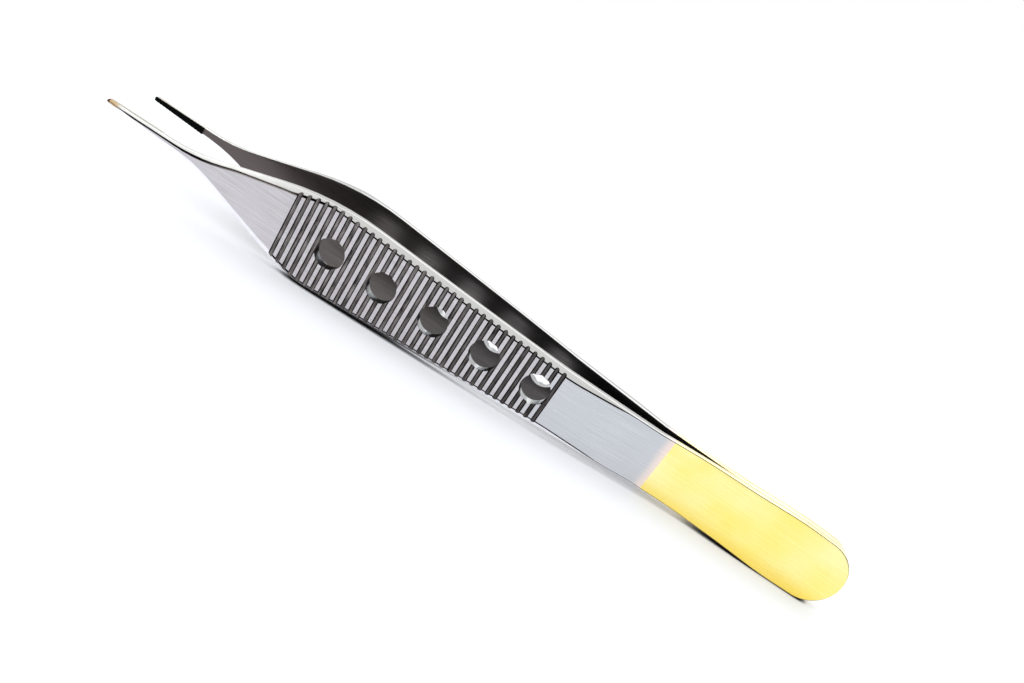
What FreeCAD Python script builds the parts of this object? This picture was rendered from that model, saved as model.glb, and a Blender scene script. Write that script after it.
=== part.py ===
import FreeCAD, Part
import Sketcher
import math
import os

# Fine-tipped thumb forceps, 120 mm long, standing on the lower edges of its two arms.
# Each arm is drawn in its own frame: along runs from the tips (0) to the heel, across runs over the
# arm's width from its centre line, and the depth is measured outwards from the plane in which the two
# arms are welded together.

doc = FreeCAD.newDocument("thumb_forceps")
sheet = doc.addObject("Spreadsheet::Sheet", "sizes")

DIMENSIONS = {
    # the whole arm
    "total_length": 120.0,
    "stock_width": 16.0,
    # face of the arm: places along it, half widths there, and the corner radii
    "tip_half": 0.33,
    "tip_round": 0.28,
    "neck_along": 13.8,
    "neck_half": 0.68,
    "neck_round": 25.0,
    "plate_along": 33.9,
    "plate_half": 6.84,
    "plate_round": 42.0,
    "waist_along": 88.0,
    "waist_half": 3.92,
    "waist_round": 280.0,
    "heel_along": 110.5,
    "heel_half": 5.12,
    "heel_round": 40.0,
    "end_half": 4.82,
    "end_round": 4.75,
    # side of the arm: inner line
    "weld_along": 99.6,
    "weld_round": 60.0,
    "middle_along": 66.5,
    "middle_inner": 3.18,
    "middle_round": 250.0,
    "taper_along": 25.0,
    "taper_inner": 4.80,
    "taper_round": 60.0,
    "insert_length": 8.8,
    "insert_rear_inner": 4.98,
    "seat_depth": 0.28,
    "seat_tip_depth": 5.36,
    # side of the arm: outer line
    "nose_outer": 5.74,
    "nose_along": 4.5,
    "nose_top": 6.10,
    "nose_round": 8.0,
    "shoulder_along": 20.5,
    "shoulder_outer": 5.95,
    "shoulder_round": 25.0,
    "grip_front_along": 29.0,
    "grip_front_outer": 6.42,
    "grip_front_round": 12.0,
    "grip_back_along": 73.5,
    "grip_back_outer": 4.17,
    "grip_back_round": 50.0,
    "spring_along": 94.7,
    "spring_round": 50.0,
    "heel_thickness": 1.25,
    # bevel ground along both edges of the grip plate
    "bevel_front_along": 37.0,
    "bevel_front_half": 5.82,
    "bevel_back_along": 66.0,
    "bevel_back_half": 4.34,
    "bevel_width": 0.75,
    "bevel_depth": 0.70,
    "bevel_angle": 45.0,
    "bevel_run": 72.0,
    # bevel along the slender tip and its widening, set out on a level above them
    "tip_bevel_level": 6.45,
    "tip_bevel_half": -0.91,
    "nose_bevel_along": 4.5,
    "nose_bevel_half": -0.16,
    "neck_bevel_along": 15.0,
    "neck_bevel_half": -0.03,
    "plate_bevel_along": 34.2,
    "plate_bevel_half": 6.20,
    "end_bevel_along": 44.0,
    "end_bevel_half": 5.87,
    # cross grooves and lightening holes of the grip plate
    "groove_along": 30.07,
    "groove_pitch": 1.211,
    "groove_count": 36,
    "groove_radius": 0.34,
    "hole_along": 37.17,
    "hole_pitch": 8.276,
    "hole_count": 5,
    "hole_radius": 2.19,
    # tungsten carbide jaw insert and the diamond cut of its face
    "insert_thickness": 0.48,
    "insert_tip_half": 0.33,
    "insert_rear_half": 0.54,
    "insert_nose_round": 0.30,
    "cut_pitch": 0.39,
    "cut_half_width": 0.17,
    "cut_depth": 0.10,
    "cut_count": 17,
    "cut_angle": 45.0,
}

for row, (alias, size) in enumerate(DIMENSIONS.items(), start=1):
    sheet.set(f"A{row}", alias)
    sheet.set(f"B{row}", str(size))
    sheet.setAlias(f"B{row}", alias)
doc.recompute()

GRIP_SLOPE = ("atan((sizes.grip_front_outer - sizes.grip_back_outer)"
              " / (sizes.grip_back_along - sizes.grip_front_along))")
SEAT_SLOPE = ("atan((sizes.seat_tip_depth - sizes.insert_rear_inner - sizes.seat_depth)"
              " / sizes.insert_length)")
X_AXIS = FreeCAD.Vector(1, 0, 0)
Y_AXIS = FreeCAD.Vector(0, 1, 0)
Z_AXIS = FreeCAD.Vector(0, 0, 1)


def value(expression):
    """The number that a sheet expression gives."""
    result = sheet.evalExpression(expression)
    return float(getattr(result, "Value", result))


def origin_plane(body, role):
    """One of a body's own origin planes."""
    return next(plane for plane in body.Origin.OriginFeatures if plane.Role == role)


def new_sketch(body, name, role):
    """An empty sketch on one of the body's origin planes."""
    sketch = body.newObject("Sketcher::SketchObject", name)
    sketch.AttachmentSupport = [(origin_plane(body, role), "")]
    sketch.MapMode = "FlatFace"
    return sketch


def bind(sketch, constraint, expression):
    """Tie the size of a constraint to the sheet."""
    sketch.renameConstraint(constraint, f"size_{constraint}")
    sketch.setExpression(f"Constraints.size_{constraint}", expression)


def hold(sketch, kind, axis, point, expression):
    """Set how far a point lies from the sketch's origin along one of its axes."""
    distance = value(expression)
    if distance == 0:
        sketch.addConstraint(Sketcher.Constraint("PointOnObject", point, 1, axis))
    elif distance > 0:
        index = sketch.addConstraint(Sketcher.Constraint(kind, -1, 1, point, 1, distance))
        bind(sketch, index, expression)
    else:
        index = sketch.addConstraint(Sketcher.Constraint(kind, point, 1, -1, 1, -distance))
        bind(sketch, index, f"-({expression})")


def rounded_outline(sketch, corners):
    """A closed outline of straight sides, each corner given as along, across and radius.

    A radius of None leaves the corner sharp.
    """
    points = [FreeCAD.Vector(value(along), value(across), 0) for along, across, _ in corners]
    radii = [value(radius) if radius else 0.0 for _, _, radius in corners]
    count = len(corners)
    entries, exits, centres = [], [], []
    for i, point in enumerate(points):
        inward = (point - points[i - 1]).normalize()
        outward = (points[(i + 1) % count] - point).normalize()
        reach = radii[i] * math.tan(inward.getAngle(outward) / 2)
        side = 1 if inward.cross(outward).z > 0 else -1
        entries.append(point - inward * reach)
        exits.append(point + outward * reach)
        centres.append(entries[i] + Z_AXIS.cross(inward) * (side * radii[i]))

    sides = [sketch.addGeometry(Part.LineSegment(exits[i], entries[(i + 1) % count]))
             for i in range(count)]
    for i, (along, across, radius) in enumerate(corners):
        before, after = sides[i - 1], sides[i]
        if radius is None:
            sketch.addConstraint(Sketcher.Constraint("Coincident", before, 2, after, 1))
            hold(sketch, "DistanceX", -2, after, along)
            hold(sketch, "DistanceY", -1, after, across)
            continue
        turn_left = (entries[i] - centres[i]).cross(exits[i] - centres[i]).z > 0
        first, last = (entries[i], exits[i]) if turn_left else (exits[i], entries[i])
        start, end = ((spot - centres[i]) for spot in (first, last))
        circle = Part.Circle(centres[i], Z_AXIS, radii[i])
        arc = sketch.addGeometry(Part.ArcOfCircle(
            circle, math.atan2(start.y, start.x), math.atan2(end.y, end.x)))
        corner = sketch.addGeometry(Part.Point(points[i]), True)
        hold(sketch, "DistanceX", -2, corner, along)
        hold(sketch, "DistanceY", -1, corner, across)
        sketch.addConstraint(Sketcher.Constraint("PointOnObject", corner, 1, before))
        sketch.addConstraint(Sketcher.Constraint("PointOnObject", corner, 1, after))
        start_end, finish_end = (1, 2) if turn_left else (2, 1)
        sketch.addConstraint(Sketcher.Constraint("Tangent", before, 2, arc, start_end))
        sketch.addConstraint(Sketcher.Constraint("Tangent", after, 1, arc, finish_end))
        bind(sketch, sketch.addConstraint(Sketcher.Constraint("Radius", arc, radii[i])), radius)
    return centres


def mirrored(corners):
    """The corners on one side of the centre line, and the same again on the other side."""
    other = [(along, f"-({across})", radius) for along, across, radius in reversed(corners)]
    return corners + other


def pocket_through(body, name, sketch):
    """A cut right through the piece, to both sides of its sketch."""
    pocket = body.newObject("PartDesign::Pocket", name)
    pocket.Profile = sketch
    pocket.Type = "ThroughAll"
    pocket.SideType = "Symmetric"
    return pocket


def trim_to_outline(body, name, corners):
    """Cut away all that lies outside the outline of the face."""
    sketch = new_sketch(body, f"{name}_outline", "XZ_Plane")
    centres = rounded_outline(sketch, corners)
    margin = [("-sizes.stock_width", "-sizes.stock_width", None),
              ("sizes.total_length + sizes.stock_width", "-sizes.stock_width", None),
              ("sizes.total_length + sizes.stock_width", "sizes.stock_width", None),
              ("-sizes.stock_width", "sizes.stock_width", None)]
    rounded_outline(sketch, margin)
    pocket_through(body, f"{name}_trim", sketch)
    return centres


def repeat(body, name, feature, sketch, count, pitch):
    """Repeat a cut along its sketch's own horizontal axis."""
    pattern = body.newObject("PartDesign::LinearPattern", name)
    pattern.Originals = [feature]
    pattern.Direction = (sketch, ["H_Axis"])
    pattern.Mode = "Spacing"
    pattern.setExpression("Occurrences", count)
    pattern.setExpression("Offset", pitch)
    body.Tip = pattern
    return pattern


FACE_CORNERS = [
    ("0", "sizes.tip_half", "sizes.tip_round"),
    ("sizes.neck_along", "sizes.neck_half", "sizes.neck_round"),
    ("sizes.plate_along", "sizes.plate_half", "sizes.plate_round"),
    ("sizes.waist_along", "sizes.waist_half", "sizes.waist_round"),
    ("sizes.heel_along", "sizes.heel_half", "sizes.heel_round"),
    ("sizes.total_length", "sizes.end_half", "sizes.end_round"),
]
SIDE_CORNERS = [
    ("0", "sizes.seat_tip_depth", None),
    ("sizes.insert_length", "sizes.insert_rear_inner + sizes.seat_depth", None),
    ("sizes.insert_length", "sizes.insert_rear_inner", None),
    ("sizes.taper_along", "sizes.taper_inner", "sizes.taper_round"),
    ("sizes.middle_along", "sizes.middle_inner", "sizes.middle_round"),
    ("sizes.weld_along", "0", "sizes.weld_round"),
    ("sizes.total_length", "0", None),
    ("sizes.total_length", "sizes.heel_thickness", None),
    ("sizes.spring_along", "sizes.heel_thickness", "sizes.spring_round"),
    ("sizes.grip_back_along", "sizes.grip_back_outer", "sizes.grip_back_round"),
    ("sizes.grip_front_along", "sizes.grip_front_outer", "sizes.grip_front_round"),
    ("sizes.shoulder_along", "sizes.shoulder_outer", "sizes.shoulder_round"),
    ("sizes.nose_along", "sizes.nose_top", "sizes.nose_round"),
    ("0", "sizes.nose_outer", None),
]


def grip_face(along):
    """Depth of the grip plate's flat outer face at a place along the arm, as an expression."""
    return f"sizes.grip_front_outer - ({along} - sizes.grip_front_along) * tan({GRIP_SLOPE})"


def lay(sketch, place, axis, turn):
    """Move a sketch within its plane by three expressions and turn it about one of its axes."""
    base = FreeCAD.Vector(*[value(distance) for distance in place])
    sketch.AttachmentOffset = FreeCAD.Placement(base, FreeCAD.Rotation(axis, value(turn)))
    for direction, distance in zip("xyz", place):
        sketch.setExpression(f"AttachmentOffset.Base.{direction}", distance)
    turned = sketch.AttachmentOffset.Rotation
    sign = 1 if turned.Axis.dot(axis) > 0 else -1
    sketch.setExpression("AttachmentOffset.Rotation.Angle", f"{sign} * ({turn})")


def bevel_plate_edge(body):
    """Grind the bevel along one edge of the grip plate, and mirror it to the other edge."""
    front = FreeCAD.Vector(value("sizes.bevel_front_along"),
                           value(grip_face("sizes.bevel_front_along")),
                           value("sizes.bevel_front_half"))
    back = FreeCAD.Vector(value("sizes.bevel_back_along"),
                          value(grip_face("sizes.bevel_back_along")),
                          value("sizes.bevel_back_half"))
    edge_line = FreeCAD.Rotation(Y_AXIS, Z_AXIS, back - front, "ZXY")
    square_to_edge = FreeCAD.Placement((front + back) / 2, edge_line)
    sketch = new_sketch(body, "bevel_section", "YZ_Plane")
    plane = origin_plane(body, "YZ_Plane").Placement
    sketch.AttachmentOffset = plane.inverse() * square_to_edge
    deep, wide = "4 * sizes.bevel_depth", "4 * sizes.bevel_width"
    rounded_outline(sketch, [(deep, f"-({wide})", None), (deep, wide, None),
                             (f"-({deep})", wide, None)])
    bevel = body.newObject("PartDesign::Pocket", "bevel")
    bevel.Profile = sketch
    bevel.SideType = "Symmetric"
    bevel.setExpression("Length", "sizes.bevel_run")
    doc.recompute()
    both = body.newObject("PartDesign::Mirrored", "bevels")
    both.Originals = [bevel]
    both.MirrorPlane = (origin_plane(body, "XY_Plane"), [""])
    body.Tip = both


def bevel_tip_edge(body):
    """Bevel both edges of the slender tip and of its widening, following their outline."""
    sketch = new_sketch(body, "tip_bevel_outline", "XZ_Plane")
    sketch.setExpression("AttachmentOffset.Base.z", "-sizes.tip_bevel_level")
    doc.recompute()
    rounded_outline(sketch, [
        ("-2 * sizes.bevel_depth", "sizes.tip_bevel_half", None),
        ("sizes.nose_bevel_along", "sizes.nose_bevel_half", "sizes.nose_round"),
        ("sizes.neck_bevel_along", "sizes.neck_bevel_half", "sizes.neck_round"),
        ("sizes.plate_bevel_along", "sizes.plate_bevel_half", "sizes.heel_round"),
        ("sizes.end_bevel_along", "sizes.end_bevel_half", None),
        ("sizes.end_bevel_along", "sizes.stock_width", None),
        ("-2 * sizes.bevel_depth", "sizes.stock_width", None),
    ])
    bevel = body.newObject("PartDesign::Pocket", "tip_bevel")
    bevel.Profile = sketch
    bevel.SideType = "One side"
    bevel.Reversed = True
    bevel.setExpression("Length", "2 * sizes.bevel_depth")
    bevel.setExpression("TaperAngle", "-sizes.bevel_angle")
    doc.recompute()
    both = body.newObject("PartDesign::Mirrored", "tip_bevels")
    both.Originals = [bevel]
    both.MirrorPlane = (origin_plane(body, "XY_Plane"), [""])
    body.Tip = both


def add_circle(sketch, radius):
    """A circle round the sketch's origin."""
    circle = sketch.addGeometry(Part.Circle(FreeCAD.Vector(), Z_AXIS, value(radius)))
    sketch.addConstraint(Sketcher.Constraint("Coincident", circle, 3, -1, 1))
    bind(sketch, sketch.addConstraint(Sketcher.Constraint("Radius", circle, value(radius))), radius)


def make_arm(label):
    """One arm: bent strip, trimmed to its face, bevelled, grooved and drilled."""
    body = doc.addObject("PartDesign::Body", label)
    body.Label = label
    side = new_sketch(body, "side_profile", "XY_Plane")
    rounded_outline(side, SIDE_CORNERS)
    strip = body.newObject("PartDesign::Pad", "bent_strip")
    strip.Profile = side
    strip.SideType = "Symmetric"
    strip.setExpression("Length", "sizes.stock_width")
    doc.recompute()
    centres = trim_to_outline(body, "face", mirrored(FACE_CORNERS))
    doc.recompute()
    bevel_plate_edge(body)
    doc.recompute()
    bevel_tip_edge(body)
    doc.recompute()

    grooves = new_sketch(body, "groove_section", "XY_Plane")
    lay(grooves, ("sizes.groove_along", grip_face("sizes.groove_along"), "0"),
        Z_AXIS, f"-({GRIP_SLOPE})")
    add_circle(grooves, "sizes.groove_radius")
    groove = pocket_through(body, "groove", grooves)
    doc.recompute()
    repeat(body, "grooves", groove, grooves, "sizes.groove_count", "sizes.groove_pitch")
    doc.recompute()

    drilling = new_sketch(body, "hole_section", "XZ_Plane")
    hole_depth = grip_face("sizes.hole_along")
    lay(drilling, ("sizes.hole_along", "0", f"-({hole_depth})"), Y_AXIS, f"-({GRIP_SLOPE})")
    add_circle(drilling, "sizes.hole_radius")
    hole = pocket_through(body, "hole", drilling)
    doc.recompute()
    repeat(body, "holes", hole, drilling, "sizes.hole_count", "sizes.hole_pitch")
    doc.recompute()
    return body, centres


def cut_jaw_face(body, name, turn):
    """One of the two sets of slanting V cuts that leave diamond teeth on the insert's face."""
    tilt = FreeCAD.Rotation(Z_AXIS, -value(SEAT_SLOPE))
    face_depth = "sizes.seat_tip_depth - sizes.insert_thickness"
    sketch = new_sketch(body, f"{name}_section", "XY_Plane")
    sketch.AttachmentOffset = FreeCAD.Placement(
        FreeCAD.Vector(0, value(face_depth), 0), tilt.multiply(FreeCAD.Rotation(Y_AXIS, turn)))
    sketch.setExpression("AttachmentOffset.Base.y", face_depth)
    rounded_outline(sketch, [("-sizes.cut_half_width", "-sizes.cut_depth / 5", None),
                             ("sizes.cut_half_width", "-sizes.cut_depth / 5", None),
                             ("0", "sizes.cut_depth", None)])
    cut = pocket_through(body, name, sketch)
    doc.recompute()
    repeat(body, f"{name}_row", cut, sketch, "sizes.cut_count", "sizes.cut_pitch")
    doc.recompute()


def make_insert(label):
    """One jaw insert: a tapered plate with a round nose and a diamond-cut face."""
    body = doc.addObject("PartDesign::Body", label)
    body.Label = label
    seat = new_sketch(body, "plate_outline", "XZ_Plane")
    lay(seat, ("sizes.insert_length", "0", "-(sizes.insert_rear_inner + sizes.seat_depth)"),
        Y_AXIS, f"-({SEAT_SLOPE})")
    rounded_outline(seat, mirrored([
        ("-sizes.insert_length", "sizes.insert_tip_half", "sizes.insert_nose_round"),
        ("0", "sizes.insert_rear_half", None),
    ]))
    plate = body.newObject("PartDesign::Pad", "plate")
    plate.Profile = seat
    plate.setExpression("Length", "sizes.insert_thickness")
    doc.recompute()
    cut_jaw_face(body, "rising_cut", value("sizes.cut_angle"))
    cut_jaw_face(body, "falling_cut", -value("sizes.cut_angle"))
    return body


def standing_tilt(plate_centre, heel_centre):
    """Angle that sets the plate's and the heel's rounded lower edges on one level surface."""
    step = heel_centre - plate_centre
    rise = -step.y
    reach = math.hypot(step.x, rise)
    difference = value("sizes.plate_round - sizes.heel_round")
    return math.degrees(math.atan2(rise, step.x) + math.asin(difference / reach))


ARM_TURNS = {"near": 180, "far": 0}
PLATE_CORNER, HEEL_CORNER = 2, 4

pieces = []
for side_name, arm_turn in ARM_TURNS.items():
    arm, corner_centres = make_arm(f"{side_name}_arm")
    insert = make_insert(f"{side_name}_jaw_insert")
    tilt_angle = standing_tilt(corner_centres[PLATE_CORNER], corner_centres[HEEL_CORNER])
    stand = FreeCAD.Rotation(Y_AXIS, tilt_angle).multiply(FreeCAD.Rotation(X_AXIS, arm_turn))
    for piece in (arm, insert):
        piece.Placement = FreeCAD.Placement(FreeCAD.Vector(), stand)
        pieces.append(piece)
doc.recompute()

# the origin goes under the middle of the forceps, on the surface that it stands on
whole = FreeCAD.BoundBox()
for piece in pieces:
    whole.add(piece.Shape.optimalBoundingBox(False, False))
to_origin = FreeCAD.Vector(-whole.Center.x, -whole.Center.y, -whole.ZMin)
for piece in pieces:
    piece.Placement = FreeCAD.Placement(to_origin, piece.Placement.Rotation)
doc.recompute()

for item in doc.Objects:
    if "Invalid" in item.State or "Error" in item.State:
        raise RuntimeError(f"{item.Label} failed: {item.getStatusString()}")
os.makedirs("parts", exist_ok=True)
for piece in pieces:
    shape = piece.Shape
    if shape.isNull() or not shape.isValid() or len(shape.Solids) != 1:
        raise RuntimeError(f"{piece.Label} has no sound solid")
    shape.exportStep(f"parts/{piece.Label}.step")
    box = shape.BoundBox
    print(f"{piece.Label}: {shape.Volume:.1f} cubic mm, x {box.XMin:.2f} to {box.XMax:.2f}, "
          f"y {box.YMin:.2f} to {box.YMax:.2f}, z {box.ZMin:.2f} to {box.ZMax:.2f}")
print(f"stands at {tilt_angle:.3f} degrees")
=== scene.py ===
import logging
import math
from dataclasses import dataclass, field
from enum import Enum
from itertools import pairwise

import bmesh
import bpy
import numpy as np
from mathutils import Euler, Matrix, Vector


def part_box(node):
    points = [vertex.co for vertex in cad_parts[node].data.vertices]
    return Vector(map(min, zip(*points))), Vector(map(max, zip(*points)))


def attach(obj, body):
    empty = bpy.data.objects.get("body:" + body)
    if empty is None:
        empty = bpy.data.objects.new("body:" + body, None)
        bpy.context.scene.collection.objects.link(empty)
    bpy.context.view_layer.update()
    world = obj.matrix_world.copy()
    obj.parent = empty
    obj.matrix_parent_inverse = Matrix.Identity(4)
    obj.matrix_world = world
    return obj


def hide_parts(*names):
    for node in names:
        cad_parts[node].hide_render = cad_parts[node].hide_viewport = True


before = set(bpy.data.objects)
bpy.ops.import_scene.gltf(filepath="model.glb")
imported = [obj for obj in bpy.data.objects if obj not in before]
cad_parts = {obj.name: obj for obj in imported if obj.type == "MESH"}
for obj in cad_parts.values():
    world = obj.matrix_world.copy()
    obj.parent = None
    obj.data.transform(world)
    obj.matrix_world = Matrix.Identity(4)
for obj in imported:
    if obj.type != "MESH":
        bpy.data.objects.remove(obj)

# The visual model of fine-tipped thumb forceps: two bent steel arms welded at the heel, with gold
# plated heels and two tungsten carbide jaw inserts. Sizes are in millimetres in each arm's own frame:
# along runs from the tips (0) to the heel, depth outwards from the weld plane, across over the width.

log = logging.getLogger("thumb_forceps")
MM = 0.001
PHOTO_WIDTH = 1024
SENSOR_WIDTH = 36.0
# Noise stays near its middle, 0.5. These stretches of it are spread over the whole change.
TONE_STRETCH = (0.35, 0.65)
ROUGHNESS_STRETCH = (0.3, 0.7)
# How often the patterns are refined: fine for lines and grains, softer for clouds.
FINE_DETAIL = 3.0
CLOUD_DETAIL = 2.0

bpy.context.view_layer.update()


def linear(hex_colour: str) -> tuple[float, float, float, float]:
    """Turn an sRGB hex colour into the linear colour that a shader takes.

    Args:
        hex_colour: six hex digits after a hash sign.

    Returns:
        Red, green, blue and an alpha of 1.
    """
    channels = [int(hex_colour[i:i + 2], 16) / 255 for i in (1, 3, 5)]
    light = [c / 12.92 if c <= 0.04045 else ((c + 0.055) / 1.055) ** 2.4 for c in channels]
    return (*light, 1.0)


BLACK = linear("#000000")
WHITE = linear("#FFFFFF")


def add_node(tree: bpy.types.NodeTree, kind: str, inputs: dict | None = None,
             **settings: object) -> bpy.types.Node:
    """Add a node to a tree with its settings, its values and its links.

    Args:
        tree: The tree that takes the node.
        kind: The node's type.
        inputs: A value, or the output socket of another node, for each input name or number.
        settings: Properties of the node itself.

    Returns:
        The new node.
    """
    node = tree.nodes.new(kind)
    for name, setting in settings.items():
        setattr(node, name, setting)
    for name, source in (inputs or {}).items():
        if isinstance(source, bpy.types.NodeSocket):
            tree.links.new(source, node.inputs[name])
        else:
            node.inputs[name].default_value = source
    return node


def mix_colours(tree: bpy.types.NodeTree, share: object, first: object,
                second: object) -> bpy.types.NodeSocket:
    """Mix two colours.

    Args:
        tree: The tree that takes the node.
        share: Share of the second colour, as a value or a socket.
        first: The colour at a share of 0.
        second: The colour at a share of 1.

    Returns:
        The mixed colour's socket.
    """
    node = add_node(tree, "ShaderNodeMix", data_type="RGBA")
    sockets = {socket.identifier: socket for socket in node.inputs}
    ends = {"Factor_Float": share, "A_Color": first, "B_Color": second}
    for identifier, source in ends.items():
        if isinstance(source, bpy.types.NodeSocket):
            tree.links.new(source, sockets[identifier])
        else:
            sockets[identifier].default_value = source
    return next(socket for socket in node.outputs if socket.identifier == "Result_Color")


def mix_values(tree: bpy.types.NodeTree, share: object, first: object,
               second: object) -> bpy.types.NodeSocket:
    """Mix two plain values.

    Args:
        tree: The tree that takes the node.
        share: Share of the second value, as a value or a socket.
        first: The value at a share of 0.
        second: The value at a share of 1.

    Returns:
        The mixed value's socket.
    """
    return add_node(tree, "ShaderNodeMix", {0: share, 2: first, 3: second}).outputs[0]


def spread(tree: bpy.types.NodeTree, value: bpy.types.NodeSocket, start: float, end: float,
           first: float = 0.0, last: float = 1.0, smooth: bool = False) -> bpy.types.NodeSocket:
    """Spread a stretch of a value over a new range, and hold the result at both ends.

    Args:
        tree: The tree that takes the node.
        value: The value's socket.
        start: Where the stretch starts.
        end: Where it ends.
        first: The result at its start.
        last: The result at its end.
        smooth: True where the change sets in and ends softly.

    Returns:
        The result's socket.
    """
    return add_node(tree, "ShaderNodeMapRange", {
        "Value": value,
        "From Min": start,
        "From Max": end,
        "To Min": first,
        "To Max": last,
    }, interpolation_type="SMOOTHSTEP" if smooth else "LINEAR").outputs["Result"]


def combine(tree: bpy.types.NodeTree, operation: str, *values: object) -> bpy.types.NodeSocket:
    """Combine values in a math node.

    Args:
        tree: The tree that takes the node.
        operation: What the node does with them.
        values: The values or sockets, in order.

    Returns:
        The result's socket.
    """
    node = add_node(tree, "ShaderNodeMath", dict(enumerate(values)), operation=operation)
    return node.outputs["Value"]


def noise(tree: bpy.types.NodeTree, place: bpy.types.NodeSocket, scale: float, detail: float,
          fade: float = 0.5) -> bpy.types.NodeSocket:
    """Add an uneven pattern.

    Args:
        tree: The tree that takes the node.
        place: Coordinates that the pattern lies on.
        scale: Number of its clouds for each unit of them.
        detail: How often it is refined.
        fade: Strength of each refinement, as a share of the one before.

    Returns:
        The pattern's socket.
    """
    return add_node(tree, "ShaderNodeTexNoise", {
        "Vector": place,
        "Scale": scale,
        "Detail": detail,
        "Roughness": fade,
    }).outputs["Fac"]


def metal_surface(tree: bpy.types.NodeTree, colour: bpy.types.NodeSocket,
                  roughness: bpy.types.NodeSocket, height: bpy.types.NodeSocket,
                  relief: float, strength: float) -> None:
    """Finish a material's tree as metal with a fine relief.

    Args:
        tree: The material's tree.
        colour: Colour of what it mirrors.
        roughness: Its roughness.
        height: Pattern of the relief.
        relief: Height of the relief, in mm.
        strength: Share of the relief that shows.
    """
    bump = add_node(tree, "ShaderNodeBump", {
        "Height": height,
        "Strength": strength,
        "Distance": relief * MM,
    })
    shader = add_node(tree, "ShaderNodeBsdfPrincipled", {
        "Base Color": colour,
        "Metallic": 1.0,
        "Roughness": roughness,
        "Normal": bump.outputs["Normal"],
    })
    add_node(tree, "ShaderNodeOutputMaterial", {"Surface": shader.outputs["BSDF"]})


def empty_tree(owner: bpy.types.Material | bpy.types.World) -> bpy.types.NodeTree:
    """Give a material or a world a node tree with nothing in it."""
    owner.use_nodes = True
    owner.node_tree.nodes.clear()
    return owner.node_tree


def add_object(name: str, data: bpy.types.ID) -> bpy.types.Object:
    """Make an object from its data and put it into the scene."""
    thing = bpy.data.objects.new(name, data)
    bpy.context.scene.collection.objects.link(thing)
    return thing


class BrushPlane(Enum):
    """Which faces a lengthwise brushed pattern lies on, as its scale across Y and Z."""

    FACE = (0.0, 1.0)
    EDGE = (1.0, 0.0)


@dataclass(frozen=True)
class Tint:
    """A colour that takes over from a metal's own along the forceps.

    Attributes:
        colour: The colour that takes over.
        clear_at: Place along the axis, in mm, where none of it shows.
        full_at: Place along it, in mm, where it shows in full.
        strength: Its share where it shows in full.
        axis: The axis that it changes along.
    """

    colour: str
    clear_at: float
    full_at: float
    strength: float = 1.0
    axis: str = "X"


# The brazed nose: filler alloy that ran over the tip shows straw to brown.
BRAZE_TINT = Tint(colour="#AE8A3E", clear_at=-57.2, full_at=-58.4, strength=0.9)
# On the ground edge there is only a trace of it.
BRAZE_TRACE = Tint(colour="#B08A35", clear_at=-57.6, full_at=-58.8, strength=0.75)
# At the very end it is burnt dark reddish brown.
BURNT_END = Tint(colour="#5E3A34", clear_at=-59.55, full_at=-59.75)
# The plating thins to a pale pinkish bloom just in front of its masked border.
PLATING_BLOOM = Tint(colour="#F6E2D8", clear_at=28.3, full_at=30.0, strength=0.9)
# Behind the grip the brushed face is painted with a cold bluish cast: a painted reflection of the
# shaded, bluish table.
BLUISH_REFLECTION = Tint(colour="#C8D2D8", clear_at=8.0, full_at=16.0, strength=0.45)
# Along the grip and behind it the border band is tinted greyer.
GREY_BAND = Tint(colour="#B8B8B7", clear_at=-42.0, full_at=-28.0, strength=0.85)
# The painted shade in the grooves deepens towards the heel.
DEEPER_GROOVE_SHADE = Tint(colour="#141212", clear_at=-16.0, full_at=14.0, strength=0.6)
# The gold is painted deeper in colour towards the lower edge of the heel: a painted reflection of the
# shaded table near where the heel touches it.
LOW_GOLD_SHADE = Tint(colour="#FFD83C", clear_at=3.4, full_at=0.4, strength=0.6, axis="Z")
# The painted shade on the inner faces is darker and colder towards the heel, where the arms close in.
DEEPER_INNER_SHADE = Tint(colour="#3C3E41", clear_at=-24.0, full_at=10.0, strength=0.4)
# Between the slender tip and the grip the painted dark line at the corner is only faint.
FAINT_LINE = Tint(colour="#B4ABA8", clear_at=-45.0, full_at=-37.0)
# Along the grip it is dark again.
DARK_LINE = Tint(colour="#1C191A", clear_at=-31.5, full_at=-30.0)
# Brazing heat leaves the inner faces behind the inserts a dull brownish grey.
HEAT_STAIN = Tint(colour="#655D5C", clear_at=-22.0, full_at=-36.0)


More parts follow.
